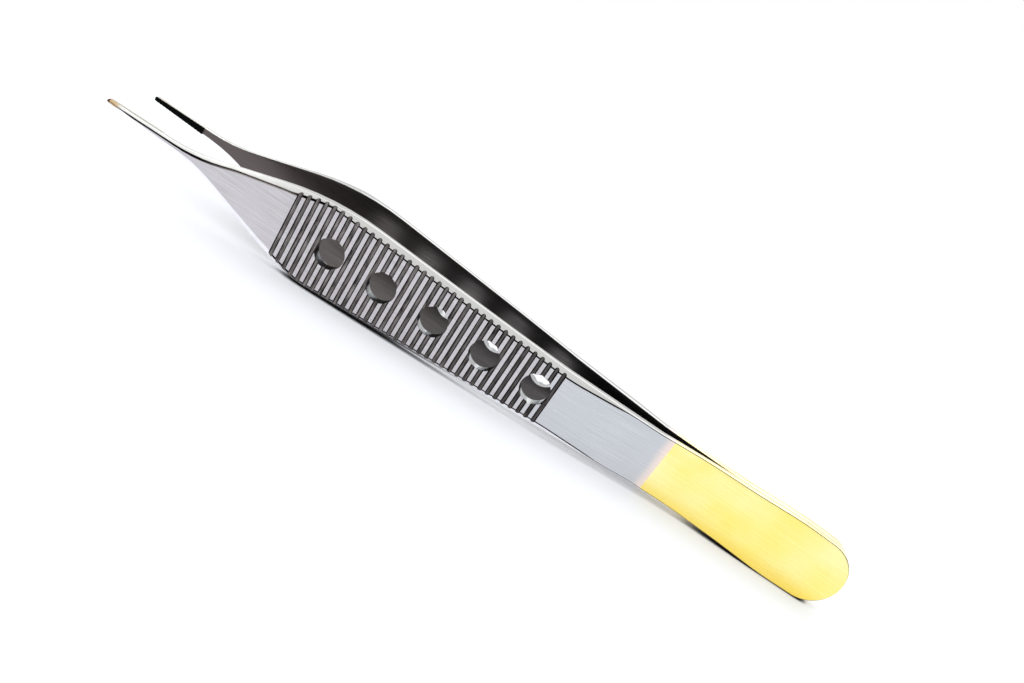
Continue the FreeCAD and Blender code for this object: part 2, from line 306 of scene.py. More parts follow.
@dataclass(frozen=True)
class BrushedMetal:
    """A metal surface with fine lengthwise grinding or brushing lines.

    Attributes:
        name: Name of the material.
        dark: Colour in the valleys of the lines.
        light: Colour on their crests.
        plane: Faces that the lines run along.
        line_width: Mean spacing of the lines, in mm.
        line_length: Mean length of one line, in mm.
        line_share: Share of the lines in the change of colour, the rest being soft clouds.
        cloud_size: Size of the clouds, in mm.
        roughness: Mean roughness.
        roughness_spread: How far the lines move it either way.
        relief: Height of the lines, in mm.
        relief_strength: Share of that relief that shows.
        line_fade: Strength of each finer set of lines, as a share of the coarser one.
        tints: Colours that take over along the forceps.
    """

    name: str
    dark: str
    light: str
    plane: BrushPlane = BrushPlane.FACE
    line_width: float = 0.16
    line_length: float = 9.0
    line_share: float = 0.7
    cloud_size: float = 7.0
    roughness: float = 0.30
    roughness_spread: float = 0.06
    relief: float = 0.004
    relief_strength: float = 0.6
    line_fade: float = 0.6
    tints: tuple[Tint, ...] = ()

    def material(self) -> bpy.types.Material:
        """Build the material.

        Returns:
            The material, with its node tree. It is made once, at the first call.
        """
        if self.name in bpy.data.materials:
            return bpy.data.materials[self.name]
        material = bpy.data.materials.new(self.name)
        tree = empty_tree(material)
        place = add_node(tree, "ShaderNodeTexCoord").outputs["Object"]
        across_y, across_z = (scale / (self.line_width * MM) for scale in self.plane.value)
        lines_place = add_node(tree, "ShaderNodeMapping", {
            "Vector": place,
            "Scale": (1 / (self.line_length * MM), across_y, across_z),
        }).outputs["Vector"]
        lines = noise(tree, lines_place, 1.0, FINE_DETAIL, self.line_fade)
        clouds = noise(tree, place, 1 / (self.cloud_size * MM), CLOUD_DETAIL)
        blend = mix_values(tree, self.line_share, clouds, lines)
        tone = spread(tree, blend, *TONE_STRETCH)
        colour = mix_colours(tree, tone, linear(self.dark), linear(self.light))
        for tint in self.tints:
            colour = self.tinted(tree, place, colour, clouds, tint)
        rough = spread(tree, lines, *ROUGHNESS_STRETCH, self.roughness + self.roughness_spread,
                       self.roughness - self.roughness_spread)
        metal_surface(tree, colour, rough, lines, self.relief, self.relief_strength)
        return material

    def tinted(self, tree: bpy.types.NodeTree, place: bpy.types.NodeSocket,
               colour: bpy.types.NodeSocket, clouds: bpy.types.NodeSocket,
               tint: Tint) -> bpy.types.NodeSocket:
        """Lay a tint over a colour, with an uneven border.

        Args:
            tree: The material's tree.
            place: Object coordinates.
            colour: Colour under the tint.
            clouds: Pattern that makes the border uneven.
            tint: The tint and where it lies.

        Returns:
            The tinted colour.
        """
        along = add_node(tree, "ShaderNodeSeparateXYZ", {"Vector": place}).outputs[tint.axis]
        reach = tint.full_at - tint.clear_at
        wander = combine(tree, "MULTIPLY_ADD", clouds, reach * MM, along)
        share = spread(tree, wander, (tint.clear_at + reach / 2) * MM,
                       (tint.full_at + reach / 2) * MM, last=tint.strength, smooth=True)
        return mix_colours(tree, share, colour, linear(tint.colour))


# Stainless steel, belt brushed along the arm: a soft sheen with fine lengthwise lines.
SATIN_STEEL = BrushedMetal(
    name="satin_stainless_steel", dark="#BEBBBE", light="#D1CED2",
    tints=(BLUISH_REFLECTION, BRAZE_TINT, BURNT_END, PLATING_BLOOM))
# The same steel where the edges and bevels were fine ground: brighter, closer lines.
GROUND_EDGE = BrushedMetal(
    name="fine_ground_steel_edge", dark="#CCCCC9", light="#E6E6E3", plane=BrushPlane.EDGE,
    line_width=0.12, line_length=1.2, roughness=0.13, roughness_spread=0.04,
    tints=(GREY_BAND, BRAZE_TRACE, BURNT_END, PLATING_BLOOM))
# The lower border band is painted brighter than the upper one: a painted reflection of the lit table
# under the arms.
LOWER_EDGE_REFLECTION = BrushedMetal(
    name="lower_edge_painted_reflection", dark="#EDECF6", light="#FAFAFF", plane=BrushPlane.EDGE,
    line_width=0.12, line_length=2.5, roughness=0.12, roughness_spread=0.03, relief=0.002,
    tints=(BRAZE_TRACE, BURNT_END))
# A fine dark line is painted where the face turns into the bevel: a painted reflection of the dark
# studio in front, which the rounded corner mirrors.
PAINTED_CORNER_LINE = BrushedMetal(
    name="painted_dark_corner_line", dark="#140F10", light="#30282A", relief=0.002,
    tints=(FAINT_LINE, DARK_LINE))
# On the plated heel that painted line is brown.
GOLD_CORNER = BrushedMetal(
    name="brown_corner_line", dark="#4A3420", light="#8A6A3A", relief=0.002)
# The inner faces keep a coarser and duller finish, painted dark grey: painted shade between the two
# arms.
SHADED_INNER_STEEL = BrushedMetal(
    name="inner_steel_painted_shade", dark="#656160", light="#787371", roughness=0.32, line_width=0.22,
    tints=(DEEPER_INNER_SHADE, HEAT_STAIN))
# The milled grooves are painted dark and left matt: painted shade in the recesses between the lands.
GROOVE_SHADE_STEEL = BrushedMetal(
    name="groove_steel_painted_shade", dark="#262322", light="#8E8887", line_width=2.2,
    line_length=0.24, cloud_size=2.0, roughness=0.22, roughness_spread=0.08, relief=0.01,
    tints=(DEEPER_GROOVE_SHADE,))
# Drilled walls of the lightening holes: reamed smooth, so they mirror the table in clear patches.
DRILLED_STEEL = BrushedMetal(
    name="drilled_steel", dark="#9EA0A2", light="#BABCBE", plane=BrushPlane.EDGE, roughness=0.10,
    roughness_spread=0.03)
# Thin hard gold plate over the brushed heel: bright pale yellow, with hardly a line left in it.
HEEL_GOLD = BrushedMetal(
    name="gold_plate", dark="#FFEE84", light="#FFF7B2", line_share=0.25, cloud_size=9.0,
    relief=0.002, tints=(LOW_GOLD_SHADE,))
# On the ground edges the plate is painted paler, as a painted highlight.
GOLD_EDGE = BrushedMetal(
    name="gold_edge_painted_highlight", dark="#FBE7A6", light="#FFF4CE", plane=BrushPlane.EDGE,
    line_width=0.12, line_length=1.2, roughness=0.16, roughness_spread=0.04, line_share=0.4,
    relief=0.002)


@dataclass(frozen=True)
class SinteredCarbide:
    """Cobalt bonded tungsten carbide: a dull, nearly black cut face and light grey ground sides.

    Attributes:
        name: Name of the material.
        dark: Colour of the cut face between the grains.
        light: Colour of its grains.
        ground_dark: Colour of the ground sides between the grains.
        ground_light: Colour of the grains there.
        grain: Size of the grain that shows, in mm. The real one is under 0.01 mm and is drawn
            coarser so that it shows.
        roughness: Roughness of the cut face.
        ground_roughness: Roughness of the sides.
        relief: Height of the grain, in mm.
        relief_strength: Share of that relief that shows.
        face_from: Share of the normal across the jaws above which a face is a cut one.
        side_from: Share below which it is a ground side.
    """

    name: str = "tungsten_carbide"
    dark: str = "#080A09"
    light: str = "#1A1E1C"
    ground_dark: str = "#B6B4AA"
    ground_light: str = "#DAD9D0"
    grain: float = 0.08
    roughness: float = 0.38
    ground_roughness: float = 0.22
    relief: float = 0.01
    relief_strength: float = 0.5
    face_from: float = 0.8
    side_from: float = 0.5

    def material(self) -> bpy.types.Material:
        """Build the material.

        Returns:
            The material, with its node tree.
        """
        material = bpy.data.materials.new(self.name)
        tree = empty_tree(material)
        place = add_node(tree, "ShaderNodeTexCoord").outputs["Object"]
        grains = noise(tree, place, 1 / (self.grain * MM), FINE_DETAIL)
        facing = add_node(tree, "ShaderNodeNewGeometry").outputs["True Normal"]
        parts = add_node(tree, "ShaderNodeSeparateXYZ", {"Vector": facing}).outputs
        outwards = combine(tree, "ABSOLUTE", parts["Y"])
        off_face = spread(tree, outwards, self.face_from, self.side_from)
        # The nose, which faces the tips, is as dark as the cut face.
        off_nose = spread(tree, parts["X"], -self.side_from, 0.0)
        side = combine(tree, "MULTIPLY", off_face, off_nose)
        cut = mix_colours(tree, grains, linear(self.dark), linear(self.light))
        ground = mix_colours(tree, grains, linear(self.ground_dark), linear(self.ground_light))
        colour = mix_colours(tree, side, cut, ground)
        rough = mix_values(tree, side, self.roughness, self.ground_roughness)
        metal_surface(tree, colour, rough, grains, self.relief, self.relief_strength)
        return material


@dataclass(frozen=True)
class Corner:
    """A corner of an outline: where its two sides would meet, and how it is rounded, in mm."""

    along: float
    level: float
    radius: float = 0.0


def turn_at(before: Vector, spot: Vector, after: Vector) -> float:
    """Angle by which a line turns to the left at a corner."""
    inward, outward = spot - before, after - spot
    return math.atan2(inward.cross(outward), inward.dot(outward))


def round_corner(before: Vector, spot: Vector, after: Vector, radius: float,
                 pieces: int) -> tuple[list[Vector], Vector]:
    """Round the corner between two straight runs with an arc that touches both.

    Args:
        before: End of the run that leads to the corner.
        spot: Where the two runs would meet.
        after: End of the run that leaves it.
        radius: Radius of the arc.
        pieces: Number of straight pieces that the arc is drawn with.

    Returns:
        The arc's points in order, and its centre.
    """
    turn = turn_at(before, spot, after)
    inward = (spot - before).normalized()
    start = spot - inward * (radius * math.tan(abs(turn) / 2))
    centre = start + Vector((-inward.y, inward.x)) * (math.copysign(radius, turn))
    spoke = start - centre
    points = [centre + Matrix.Rotation(turn * i / pieces, 2) @ spoke for i in range(pieces + 1)]
    return points, centre


@dataclass
class RoundedLine:
    """A line of straight runs joined by tangent arcs.

    Attributes:
        corners: The ends of the runs, in order along the arm.
        step: Angle between two points on an arc, in degrees.
        points: The line's points, worked out from the corners.
        centres: Centre of each corner's arc.
    """

    corners: tuple[Corner, ...]
    step: float = 4.0
    points: np.ndarray = field(init=False)
    centres: list[Vector] = field(init=False, default_factory=list)

    def __post_init__(self) -> None:
        """Work out the points."""
        spots = [Vector((corner.along, corner.level)) for corner in self.corners]
        points = [spots[0]]
        for before, spot, after, corner in zip(spots, spots[1:], spots[2:], self.corners[1:]):
            turn = math.degrees(abs(turn_at(before, spot, after)))
            pieces = max(1, math.ceil(turn / self.step))
            arc, centre = round_corner(before, spot, after, corner.radius, pieces)
            points += arc if corner.radius else [spot]
            self.centres.append(centre)
        points.append(spots[-1])
        self.points = np.array([tuple(point) for point in points])

    def level_at(self, along: float) -> float:
        """Level of the line at a place along the arm."""
        return float(np.interp(along, self.points[:, 0], self.points[:, 1]))


class Zone(Enum):
    """Where on an arm a face lies, which settles its finish."""

    FACE = 0
    EDGE = 1
    INNER = 2
    CORNER = 3
    GOLD = 4
    GOLD_EDGE = 5
    GOLD_CORNER = 6


ARM_FINISHES = {
    Zone.FACE: SATIN_STEEL,
    Zone.EDGE: GROUND_EDGE,
    Zone.INNER: SHADED_INNER_STEEL,
    Zone.CORNER: PAINTED_CORNER_LINE,
    Zone.GOLD: HEEL_GOLD,
    Zone.GOLD_EDGE: GOLD_EDGE,
    Zone.GOLD_CORNER: GOLD_CORNER,
}
# What each zone turns into where it is plated. The faces that meet are left bare.
PLATED = {
    Zone.FACE: Zone.GOLD,
    Zone.EDGE: Zone.GOLD_EDGE,
    Zone.INNER: Zone.INNER,
    Zone.CORNER: Zone.GOLD_CORNER,
}


@dataclass
class ToolRow:
    """A row of equal round cuts: the cross grooves, or the lightening holes.

    Attributes:
        count: How many cuts there are.
        pitch: Spacing along the grip face.
        radius: Radius of each cut.
        first: Along and depth of the first one's centre.
        slope: Angle at which the grip face falls towards the heel.
        lies_down: True for a tool that lies across the arm, false for one that goes through it.
        finish: Finish of the cut walls.
        sides: Sides of the round tool.
        tool_length: Its length.
        mark: Name of the mark that the tools leave on the walls they cut.
    """

    count: int
    pitch: float
    radius: float
    first: Vector
    slope: float
    lies_down: bool
    finish: BrushedMetal
    sides: int = 40
    tool_length: float = 18.0
    mark: str = "cut_wall"

    def tree(self) -> bpy.types.NodeTree:
        """Build the node tree that makes the row of cuts.

        Returns:
            The tree, with an input for each size of the row.
        """
        tree = bpy.data.node_groups.new("round_tool_row", "GeometryNodeTree")
        for name, kind in (("Geometry", "Geometry"), ("Count", "Int"), ("Step", "Vector"),
                           ("First", "Vector"), ("Radius", "Float"), ("Tool Turn", "Vector"),
                           ("Tool Length", "Float"), ("Sides", "Int"), ("Wall", "Material")):
            tree.interface.new_socket(name=name, in_out="INPUT", socket_type=f"NodeSocket{kind}")
        tree.interface.new_socket(name="Geometry", in_out="OUTPUT", socket_type="NodeSocketGeometry")
        size = add_node(tree, "NodeGroupInput").outputs
        line = add_node(tree, "GeometryNodeMeshLine", {
            "Count": size["Count"],
            "Start Location": size["First"],
            "Offset": size["Step"],
        })
        tool = add_node(tree, "GeometryNodeMeshCylinder", {
            "Vertices": size["Sides"],
            "Radius": size["Radius"],
            "Depth": size["Tool Length"],
        })
        marked = add_node(tree, "GeometryNodeStoreNamedAttribute", {
            "Geometry": tool.outputs["Mesh"],
            "Name": self.mark,
            "Value": True,
        }, data_type="BOOLEAN", domain="FACE")
        turned = add_node(tree, "GeometryNodeTransform", {
            "Geometry": marked.outputs["Geometry"],
            "Rotation": size["Tool Turn"],
        })
        tools = add_node(tree, "GeometryNodeInstanceOnPoints", {
            "Points": line.outputs["Mesh"],
            "Instance": turned.outputs["Geometry"],
        })
        cut = add_node(tree, "GeometryNodeMeshBoolean", {
            "Mesh 1": size["Geometry"],
            "Mesh 2": tools.outputs["Instances"],
        }, operation="DIFFERENCE", solver="EXACT")
        real = add_node(tree, "GeometryNodeRealizeInstances", {"Geometry": cut.outputs["Mesh"]})
        wall = add_node(tree, "GeometryNodeInputNamedAttribute", {"Name": self.mark},
                        data_type="BOOLEAN")
        dressed = add_node(tree, "GeometryNodeSetMaterial", {
            "Geometry": real.outputs["Geometry"],
            "Selection": wall.outputs["Attribute"],
            "Material": size["Wall"],
        })
        add_node(tree, "NodeGroupOutput", {"Geometry": dressed.outputs["Geometry"]})
        return tree

    def cut(self, piece: bpy.types.Object) -> None:
        """Cut the row into a piece and keep the result as its plain mesh.

        Args:
            piece: The arm, in its own frame.
        """
        modifier = piece.modifiers.new("row_of_cuts", "NODES")
        modifier.node_group = self.tree()
        step = Vector((math.cos(self.slope), -math.sin(self.slope), 0)) * self.pitch
        turn = (0.0, 0.0, 0.0) if self.lies_down else (math.pi / 2, 0.0, -self.slope)
        sizes = {
            "Count": self.count,
            "Step": tuple(step),
            "First": tuple(self.first),
            "Radius": self.radius,
            "Tool Turn": turn,
            "Tool Length": self.tool_length,
            "Sides": self.sides,
            "Wall": self.finish.material(),
        }
        for item in modifier.node_group.interface.items_tree:
            if item.in_out == "INPUT" and item.name in sizes:
                modifier[item.identifier] = sizes[item.name]
        flat = bpy.data.meshes.new_from_object(
            piece.evaluated_get(bpy.context.evaluated_depsgraph_get()))
        piece.modifiers.remove(modifier)
        flat.attributes.remove(flat.attributes[self.mark])
        piece.data = flat


@dataclass
class Arm:
    """One bent steel arm, as both are made, in its own frame.

    Attributes:
        face: Half outline of the arm seen from its side.
        inner: Inner line of the arm seen from above.
        outer: Outer line of the arm seen from above.
        tip_bevel: Inner border of the bevel along the slender tip, on a level above it.
        tip_bevel_level: That level.
        plate_bevel: Inner border of the bevel along the grip plate, on the grip face.
        plate_bevel_end: Where that bevel has run out.
        grip_front: Front end of the grip face's line.
        grip_back: Back end of it.
        bevel_slope: Fall of the plate's bevel for each mm across.
        edge_break: Least width of the bevel, where the edge is only broken.
        narrow_break: Largest share of the half width that a broken edge takes.
        tip_round: Radius where the outer face turns into the bevel along the tip.
        plate_round: Radius of the same edge along the grip plate.
        edge_round: Radius of the other edges.
        blunt_end: Least half width, which the round ends are cut off at.
        least_flat: Least half width of the flat between the bevels.
        end_room: Share of a side that an arc may take where it is the only one on it.
        shared_room: Share that it may take where another arc is on the side too.
        arc_pieces: Number of straight pieces in the arc of each rounded edge.
        face_strips: Number of strips from the outer face's centre line to its edge.
        side_strips: Number of strips across the side.
        inner_strips: Number of strips from the side to the inner face's centre line.
        station_step: Longest distance between two sections of the mesh.
        least_step: Least distance between two of them.
        seat_margin: How near a section lies to the step of the insert's seat to count as on it.
        weld: Distance within which two points of the cut mesh are the same one.
        sharp_angle: Angle between two faces from which their edge is sharp, in degrees.
        gold_from: Place along the arm where the plating starts.
        groove_at: Place along the arm of the first groove.
        hole_at: Place along it of the first hole.
    """

    face: RoundedLine = field(default_factory=lambda: RoundedLine((
        Corner(0.0, 0.0),
        Corner(0.0, 0.33, 0.28),
        Corner(13.8, 0.68, 25.0),
        Corner(33.9, 6.84, 42.0),
        Corner(88.0, 3.92, 280.0),
        Corner(110.5, 5.12, 40.0),
        Corner(120.0, 4.82, 4.75),
        Corner(120.0, 0.0),
    )))
    inner: RoundedLine = field(default_factory=lambda: RoundedLine((
        Corner(0.0, 5.36),
        Corner(8.785, 5.26),
        Corner(8.815, 4.98),
        Corner(25.0, 4.80, 60.0),
        Corner(66.5, 3.18, 250.0),
        Corner(99.6, 0.0, 60.0),
        Corner(120.0, 0.0),
    ), step=1.0))
    outer: RoundedLine = field(default_factory=lambda: RoundedLine((
        Corner(0.0, 5.74),
        Corner(4.5, 6.10, 8.0),
        Corner(20.5, 5.95, 25.0),
        Corner(29.0, 6.42, 12.0),
        Corner(73.5, 4.17, 50.0),
        Corner(94.7, 1.25, 50.0),
        Corner(120.0, 1.25),
    ), step=1.0))
    tip_bevel: RoundedLine = field(default_factory=lambda: RoundedLine((
        Corner(-1.4, -0.91),
        Corner(4.5, -0.16, 8.0),
        Corner(15.0, -0.03, 25.0),
        Corner(34.2, 6.20, 40.0),
        Corner(44.0, 5.87),
    )))
    tip_bevel_level: float = 6.45
    plate_bevel: RoundedLine = field(default_factory=lambda: RoundedLine((
        Corner(0.0, 7.71),
        Corner(120.0, 1.58),
    )))
    plate_bevel_end: float = 87.0
    grip_front: Vector = field(default_factory=lambda: Vector((29.0, 6.42)))
    grip_back: Vector = field(default_factory=lambda: Vector((73.5, 4.17)))
    bevel_slope: float = 0.70 / 0.75
    edge_break: float = 0.10
    narrow_break: float = 1 / 3
    tip_round: float = 0.65
    plate_round: float = 0.40
    edge_round: float = 0.12
    blunt_end: float = 0.12
    least_flat: float = 0.06
    end_room: float = 0.95
    shared_room: float = 0.45
    arc_pieces: int = 4
    face_strips: int = 8
    side_strips: int = 2
    inner_strips: int = 6
    station_step: float = 1.5
    least_step: float = 0.02
    seat_margin: float = 0.01
    weld: float = 0.0002
    sharp_angle: float = 18.0
    gold_from: float = 90.0
    groove_at: float = 30.07
    hole_at: float = 37.17

    @property
    def grip_slope(self) -> float:
        """Angle at which the grip face falls towards the heel."""
        run = self.grip_back - self.grip_front
        return math.atan2(-run.y, run.x)

    def on_grip_face(self, along: float) -> float:
        """Depth of the grip face, or of its plane, at a place along the arm."""
        return self.grip_front.y - (along - self.grip_front.x) * math.tan(self.grip_slope)

    def stations(self) -> np.ndarray:
        """Places along the arm where its mesh has a section.

        Returns:
            The places in order. Only the step of the seat may lie nearer to the one before it.
        """
        length = self.face.points[-1, 0]
        regular = np.arange(0, length, self.station_step)
        lines = [line.points[:, 0] for line in (self.face, self.inner, self.outer, self.tip_bevel)]
        places = np.concatenate([regular, [self.gold_from], *lines])
        places = np.unique(np.clip(places, 0, length))
        keep = [places[0]]
        for place in places[1:]:
            on_seat = abs(place - self.inner.points[1, 0]) < self.seat_margin
            if place - keep[-1] >= self.least_step or on_seat:
                keep.append(place)
        keep[-1] = length
        return np.array(keep)

    def bevel(self, along: float, half: float, outer: float) -> tuple[float, float, float]:
        """Work out the bevel of the outer face at a place along the arm.

        Args:
            along: Place along the arm.
            half: Half width of the arm there.
            outer: Depth of its outer face.

        Returns:
            Half width of the flat that the bevel leaves, the bevel's fall for each mm across, and
            the radius between the two.
        """
        over_tip = self.tip_bevel_level - outer
        past_tip = along > self.tip_bevel.points[-1, 0]
        tip_border = half if past_tip else self.tip_bevel.level_at(along) + over_tip
        below_grip = max(0.0, self.on_grip_face(along) - outer)
        plate_border = self.plate_bevel.level_at(along) + below_grip / self.bevel_slope
        if along > self.plate_bevel_end:
            plate_border = half
        broken = min(self.edge_break, half * self.narrow_break)
        border = max(self.least_flat, min(tip_border, plate_border, half - broken))
        if tip_border < plate_border:
            return border, 1.0, self.tip_round
        return border, self.bevel_slope, self.plate_round

    def rounded(self, corners: list[Vector], radii: tuple[float, ...]) -> list[list[Vector]]:
        """Round the corners of a half section, as far as its sides have room.

        Args:
            corners: The two ends on the centre line, with the three corners between them.
            radii: Radius of each of the three.

        Returns:
            The points of each arc.
        """
        lengths = [(end - start).length for start, end in pairwise(corners)]
        shares = (self.end_room, self.shared_room, self.shared_room, self.end_room)
        rooms = [share * length for share, length in zip(shares, lengths)]
        arcs = []
        for i, radius in enumerate(radii):
            before, spot, after = corners[i:i + 3]
            reach = math.tan(abs(turn_at(before, spot, after)) / 2)
            fitting = min(radius, min(rooms[i], rooms[i + 1]) / reach)
            arcs.append(round_corner(before, spot, after, fitting, self.arc_pieces)[0])
        return arcs

    def half_section(self, along: float) -> list[tuple[float, float, Zone]]:
        """Work out half a section, from the outer face's centre line to the inner one's.

        Args:
            along: Place along the arm.

        Returns:
            Depth, place across and the zone of the face that starts there, for each point.
        """
        outline = self.face.points[1:-1]
        half = max(self.blunt_end, float(np.interp(along, outline[:, 0], outline[:, 1])))
        inner = self.inner.level_at(along)
        outer = self.outer.level_at(along)
        border, slope, face_round = self.bevel(along, half, outer)
        shoulder = outer - (half - border) * slope
        corners = [Vector((0, outer)), Vector((border, outer)), Vector((half, shoulder)),
                   Vector((half, inner)), Vector((0, inner))]
        on_bevel, on_side, on_inner = self.rounded(
            corners, (face_round, self.edge_round, self.edge_round))
        # All of the first arc but its last piece is the painted dark corner line.
        runs = [
            (corners[0], on_bevel[0], Zone.FACE, self.face_strips),
            *((start, end, Zone.CORNER, 1) for start, end in pairwise(on_bevel[:-1])),
            *((start, end, Zone.EDGE, 1) for start, end in pairwise(on_bevel[-2:] + on_side)),
            (on_side[-1], on_inner[0], Zone.EDGE, self.side_strips),
            *((start, end, Zone.EDGE, 1) for start, end in pairwise(on_inner)),
            (on_inner[-1], corners[-1], Zone.INNER, self.inner_strips),
        ]
        points = []
        for start, end, zone, strips in runs:
            for i in range(strips):
                spot = start.lerp(end, i / strips)
                points.append((spot.y, spot.x, zone))
        points.append((inner, 0.0, Zone.INNER))
        return points

    def shell(self) -> bpy.types.Mesh:
        """Make the arm without its cuts, as a closed mesh in its own frame.

        Returns:
            The mesh, in millimetres, with one material for each zone.
        """
        mesh = bmesh.new()
        places = self.stations()
        halves = [self.half_section(float(place)) for place in places]
        zones = [zone for _, _, zone in halves[0][:-1]]
        zones += zones[::-1]
        rings = []
        for place, half in zip(places, halves):
            ring = [(depth, across) for depth, across, _ in half]
            ring += [(depth, -across) for depth, across in ring[-2:0:-1]]
            rings.append([mesh.verts.new((place, depth, across)) for depth, across in ring])
        size = len(rings[0])
        for place, ring, following in zip(places, rings, rings[1:]):
            plated = place >= self.gold_from
            for i in range(size):
                j = (i + 1) % size
                side = mesh.faces.new((ring[i], ring[j], following[j], following[i]))
                side.material_index = (PLATED[zones[i]] if plated else zones[i]).value
        mesh.faces.new(rings[0]).material_index = Zone.EDGE.value
        mesh.faces.new(rings[-1]).material_index = Zone.GOLD_EDGE.value
        bmesh.ops.recalc_face_normals(mesh, faces=mesh.faces)
        data = bpy.data.meshes.new("arm")
        mesh.to_mesh(data)
        mesh.free()
        for finish in ARM_FINISHES.values():
            data.materials.append(finish.material())
        return data

    def rows(self) -> list[ToolRow]:
        """The rows of cuts in the grip plate."""
        first_groove, first_hole = (Vector((along, self.on_grip_face(along), 0.0))
                                    for along in (self.groove_at, self.hole_at))
        grooves = ToolRow(
            count=36, pitch=1.211, radius=0.34, lies_down=True, finish=GROOVE_SHADE_STEEL,
            first=first_groove, slope=self.grip_slope)
        holes = ToolRow(
            count=5, pitch=8.276, radius=2.19, lies_down=False, finish=DRILLED_STEEL, sides=72,
            first=first_hole, slope=self.grip_slope)
        return [grooves, holes]

    def mesh(self) -> bpy.types.Mesh:
        """Make the whole arm, in its own frame.

        Returns:
            The mesh, in millimetres.
        """
        arm = add_object("arm", self.shell())
        for row in self.rows():
            row.cut(arm)
        finished = arm.data
        bpy.data.objects.remove(arm)
        whole = bmesh.new()
        whole.from_mesh(finished)
        bmesh.ops.remove_doubles(whole, verts=whole.verts, dist=self.weld)
        whole.to_mesh(finished)
        whole.free()
        finished.shade_smooth()
        finished.set_sharp_from_angle(angle=math.radians(self.sharp_angle))
        return finished


class Side(Enum):
    """The two sides of the forceps, as the turn about its length that each arm gets."""

    NEAR = math.pi
    FAR = 0.0


@dataclass
class Forceps:
    """The whole instrument: two arms and their jaw inserts.

    Attributes:
        arm: The arm that both sides are made from.
        carbide: Finish of the jaw inserts.
        plate_corner: Which of the outline's arcs the grip plate stands on.
        heel_corner: Which of them the heel stands on.
        lower_line_from: Where on the arm the painted dark line of the lower corner starts.
    """

    arm: Arm = field(default_factory=Arm)
    carbide: SinteredCarbide = field(default_factory=SinteredCarbide)
    plate_corner: int = 2
    heel_corner: int = 4
    lower_line_from: float = 30.4

    def standing_tilt(self) -> float:
        """Angle that sets the plate's and the heel's lower edges on the same floor."""
        face = self.arm.face
        step = face.centres[self.heel_corner] - face.centres[self.plate_corner]
        radii = [face.corners[i + 1].radius for i in (self.plate_corner, self.heel_corner)]
        return math.atan2(-step.y, step.x) + math.asin((radii[0] - radii[1]) / step.length)

    def brighten_lower_edge(self, data: bpy.types.Mesh, side: Side) -> None:
        """Paint the edge that will be the lower one brighter: a painted reflection of the lit table.

        In front of the grip plate that edge has no painted dark line at its corner.

        Args:
            data: The arm's mesh in its own frame.
            side: Which side it is for.
        """
        edge = data.materials.find(GROUND_EDGE.name)
        line = data.materials.find(PAINTED_CORNER_LINE.name)
        brightened = len(data.materials)
        data.materials.append(LOWER_EDGE_REFLECTION.material())
        downwards = -1 if side is Side.FAR else 1
        for face in data.polygons:
            in_front = face.center.x < self.lower_line_from
            bright = face.material_index == edge or (face.material_index == line and in_front)
            if bright and face.center.z * downwards > 0:
                face.material_index = brightened

    def place(self, data: bpy.types.Mesh, side: Side) -> None:
        """Stand one side's arm in the row frame, with its place in its mesh.

        Args:
            data: The arm's mesh in its own frame.
            side: Which side it is for.
        """
        node = f"{side.name.lower()}_arm"
        data = data.copy()
        self.brighten_lower_edge(data, side)
        stand = Euler((0, self.standing_tilt(), 0)).to_matrix().to_4x4()
        turn = Matrix.Rotation(side.value, 4, "X")
        data.transform(Matrix.Scale(MM, 4) @ stand @ turn)
        low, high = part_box(node)
        corners = np.array([vertex.co for vertex in data.vertices])
        own_low, own_high = corners.min(0), corners.max(0)
        middle = (low.x + high.x - own_low[0] - own_high[0]) / 2
        data.transform(Matrix.Translation((middle, 0, low.z - own_low[2])))
        piece = add_object(f"{node}_body", data)
        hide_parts(node)
        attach(piece, "root")
        log.info("%s: %d faces", piece.name, len(data.polygons))

    def build(self) -> None:
        """Make both arms and dress the jaw inserts."""
        data = self.arm.mesh()
        for side in Side:
            self.place(data, side)
        finish = self.carbide.material()
        for side in Side:
            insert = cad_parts[f"{side.name.lower()}_jaw_insert"]
            for slot in insert.material_slots:
                slot.material = finish
            log.info("%s: dressed", insert.name)


@dataclass
class Camera:
    """The photograph's viewpoint, in mm and degrees.

    Attributes:
        aim: Point that the lens points at.
        distance: From the lens to it.
        azimuth: Turn of the view from +Y towards +X.
        elevation: How far the lens looks down.
        roll: Turn of the picture about the lens.
        focal: Focal length, in pixels of the photograph.
        clip_start: Distance from the lens at which the picture starts.
    """

    aim: tuple[float, float, float] = (3.95, 0.0, 8.20)
    distance: float = 121.75
    azimuth: float = -2.49
    elevation: float = 21.58
    roll: float = 32.55
    focal: float = 876.8
    clip_start: float = 10.0

    def build(self) -> None:
        """Make the camera and set it as the scene's."""
        azimuth, elevation, roll = map(math.radians, (self.azimuth, self.elevation, self.roll))
        forward = Vector((math.sin(azimuth) * math.cos(elevation),
                          math.cos(azimuth) * math.cos(elevation),
                          -math.sin(elevation)))
        level = forward.cross(Vector((0, 0, 1))).normalized()
        rise = level.cross(forward)
        right = level * math.cos(roll) + rise * math.sin(roll)
        up = rise * math.cos(roll) - level * math.sin(roll)
        data = bpy.data.cameras.new("camera")
        data.sensor_width = SENSOR_WIDTH
        data.lens = self.focal * SENSOR_WIDTH / PHOTO_WIDTH
        data.clip_start = self.clip_start * MM
        camera = add_object("camera", data)
        turn = Matrix((right, up, -forward)).transposed().to_4x4()
        spot = (Vector(self.aim) - forward * self.distance) * MM
        camera.matrix_world = Matrix.Translation(spot) @ turn
        bpy.context.scene.camera = camera


